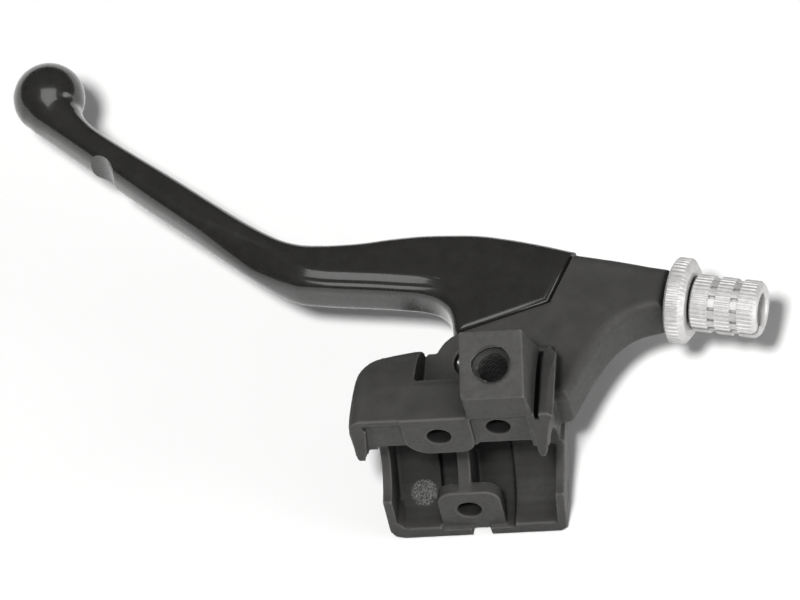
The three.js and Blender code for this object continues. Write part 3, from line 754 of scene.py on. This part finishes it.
def mirror_thread_tool():
    """The M10 thread with its countersink, as the solid that it leaves empty."""
    pitch, minor, depth, roundness = 1.25, 4.2, 0.5, 0.8
    countersink, countersink_depth = 5.5, 0.35
    top, step, rows, columns = 1.2, 0.12, 119, 96
    place = frame_along(MIRROR_MOUTH, THREAD_AXIS)
    rings = []
    for k in reversed(range(rows)):
        height = top - step * k
        ring = []
        for j in range(columns):
            turn = j / columns
            share = (height / pitch + turn) % 1.0
            radius = minor + depth * (1 - abs(2 * share - 1)) ** roundness
            radius = max(radius, min(countersink, countersink + height + countersink_depth))
            angle = 2 * math.pi * turn
            ring.append(place @ Vector((radius * math.cos(angle), radius * math.sin(angle), height)))
        rings.append(ring)
    return solid(*stack(rings))


# ---------------------------------------------------------------- adjuster

# The slots that break up the barrel's grooves, with half their width as a share of their spacing.
NOTCHES, NOTCH_HALF_WIDTH = 14, 0.14
BARREL_SLOT_TURN = math.radians(-77.0)


def knurl(turn, teeth):
    """0 on a ridge and 1 in the groove beside it, at a share of a turn."""
    share = (turn * teeth) % 1.0
    ridge_width, flank_width = 0.45, 0.35
    return min(1.0, max(0.0, (abs(share - 0.5) * 2 - ridge_width) / flank_width))


def turned_loop(profile, teeth, per_tooth):
    """A turned ring: profile is a closed loop of (height, radius, knurl depth, notch depth)."""
    place = frame_along(ADJUSTER, ADJUSTER_AXIS)
    columns = teeth * per_tooth
    verts = []
    for height, radius, depth, notch in profile:
        for k in range(columns):
            turn = k / columns
            reach = radius - (depth * knurl(turn, teeth) + notch * notch_share(turn))
            angle = 2 * math.pi * turn
            verts.append(place @ Vector((reach * math.cos(angle), reach * math.sin(angle), height)))
    return verts, grid_faces(len(profile), columns, close_rows=True)


def notch_share(turn):
    """1 in the slots that break up the barrel's grooves, 0 between them."""
    share = (turn * NOTCHES) % 1.0
    return 1.0 if abs(share - 0.5) < NOTCH_HALF_WIDTH else 0.0


def make_lock_ring(material):
    start, end, radius, bore, depth = 0.35, 6.3, 12.0, 5.3, 0.42
    profile = [
        (start, bore + 0.3, 0, 0), (start, radius - 1.6, 0, 0), (start + 0.12, radius - 1.2, 0, 0),
        (start + 0.7, radius - 0.25, depth * 0.6, 0), (start + 1.0, radius, depth, 0),
        (end - 1.75, radius, depth, 0), (end - 1.45, radius - 0.2, depth * 0.7, 0),
        (end - 0.35, radius - 1.6, 0, 0), (end, radius - 2.1, 0, 0), (end, bore + 0.3, 0, 0),
        (end - 0.3, bore, 0, 0), (start + 0.3, bore, 0, 0),
    ]
    ring = solid(*turned_loop(profile, teeth=52, per_tooth=10))
    finish_piece(ring, "knurled_lock_ring", material, "lock_ring", 30)
    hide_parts("adjuster_lock_ring")


def barrel_profile():
    """Up the outside from the thread's inner end to the socket's mouth, and back down the bore."""
    tail, start, end, radius = -11, 6.7, 26.2, 8.0
    band = (end - start) / 3
    knurl_depth, groove, notch = 0.32, 0.62, 0.55
    pitch, crest, root, wire = 1.0, 5.0, 4.62, 1.6
    profile = [(tail, wire, 0, 0), (tail, crest - 0.6, 0, 0)]
    height = tail + 0.4
    while height < start - pitch:
        profile += [(height, crest, 0, 0), (height + 0.15, crest, 0, 0), (height + 0.45, root, 0, 0),
                    (height + 0.6, root, 0, 0)]
        height += pitch
    profile += [(start, 4.9, 0, 0), (start, radius - 1.0, 0, 0), (start + 0.15, radius - 0.7, 0, 0),
                (start + 0.7, radius - 0.15, knurl_depth * 0.5, 0)]
    for index in range(3):
        low, high = start + index * band, start + (index + 1) * band
        first, last = low + (1.15 if index else 1.0), high - (1.15 if index < 2 else 1.3)
        profile += [(first, radius, knurl_depth, 0), (last, radius, knurl_depth, 0)]
        if index < 2:
            profile += [(last + 0.25, radius - groove, 0, 0), (last + 0.3, radius - groove, 0, notch),
                        (high + 0.85, radius - groove, 0, notch), (high + 0.9, radius - groove, 0, 0)]
    socket, depth = 4.7, 11.0
    profile += [(end - 1.0, radius - 0.2, 0.1, 0), (end - 0.3, radius - 0.75, 0, 0),
                (end, radius - 1.2, 0, 0), (end, socket + 0.5, 0, 0),
                (end - 0.5, socket, 0, 0), (end - depth, socket, 0, 0),
                (end - depth - 0.8, wire + 0.6, 0, 0), (end - depth - 1.6, wire, 0, 0)]
    return profile


def barrel_slot():
    """The slot along the barrel's side that lets the cable's wire in."""
    half_width, reach, start, end = 1.1, 12, -14, 30
    axis = Vector(ADJUSTER_AXIS)
    down = Matrix.Rotation(BARREL_SLOT_TURN, 3, "X") @ Vector((0, 0, -1))
    across = Matrix.Rotation(math.atan2(axis.y, axis.x), 3, "Z") @ down
    side = axis.cross(across).normalized()
    corners = ((-half_width, 0), (half_width, 0), (half_width, reach), (-half_width, reach))
    rings = []
    for height in (start, end):
        rings.append([Vector(ADJUSTER) + axis * height + side * s + across * d for s, d in corners])
    return solid(*stack(rings))


def make_barrel(material):
    barrel = solid(*turned_loop(barrel_profile(), teeth=38, per_tooth=12))
    combine(barrel, barrel_slot(), "DIFFERENCE")
    finish_piece(barrel, "knurled_barrel", material, "adjuster", 30)
    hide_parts("adjuster_barrel")


# ---------------------------------------------------------------- hardware that stays as CAD nodes

HARDWARE = {
    "pivot_bolt": "zinc_steel", "pivot_washer": "zinc_steel", "pivot_locknut": "zinc_steel",
    "pivot_bush": "bronze", "locknut_nylon_ring": "nylon",
}


def finish_hardware(materials):
    for node, material in HARDWARE.items():
        obj = frame["nodes"][node]
        if not obj.material_slots:
            obj.data.materials.append(materials[material])
        for slot in obj.material_slots:
            slot.material = materials[material]


# ---------------------------------------------------------------- scene

make_camera()
make_lights()
make_world()
make_floor()
MATERIAL_MAKERS = (cast_black, gloss_black, bright_alloy, zinc_steel, bronze, nylon)
MATERIALS = {make.__name__: make() for make in MATERIAL_MAKERS}
make_lever(MATERIALS["gloss_black"])
make_bracket(MATERIALS["cast_black"])
make_lock_ring(MATERIALS["bright_alloy"])
make_barrel(MATERIALS["bright_alloy"])
finish_hardware(MATERIALS)
bpy.context.scene.view_settings.view_transform = "Standard"
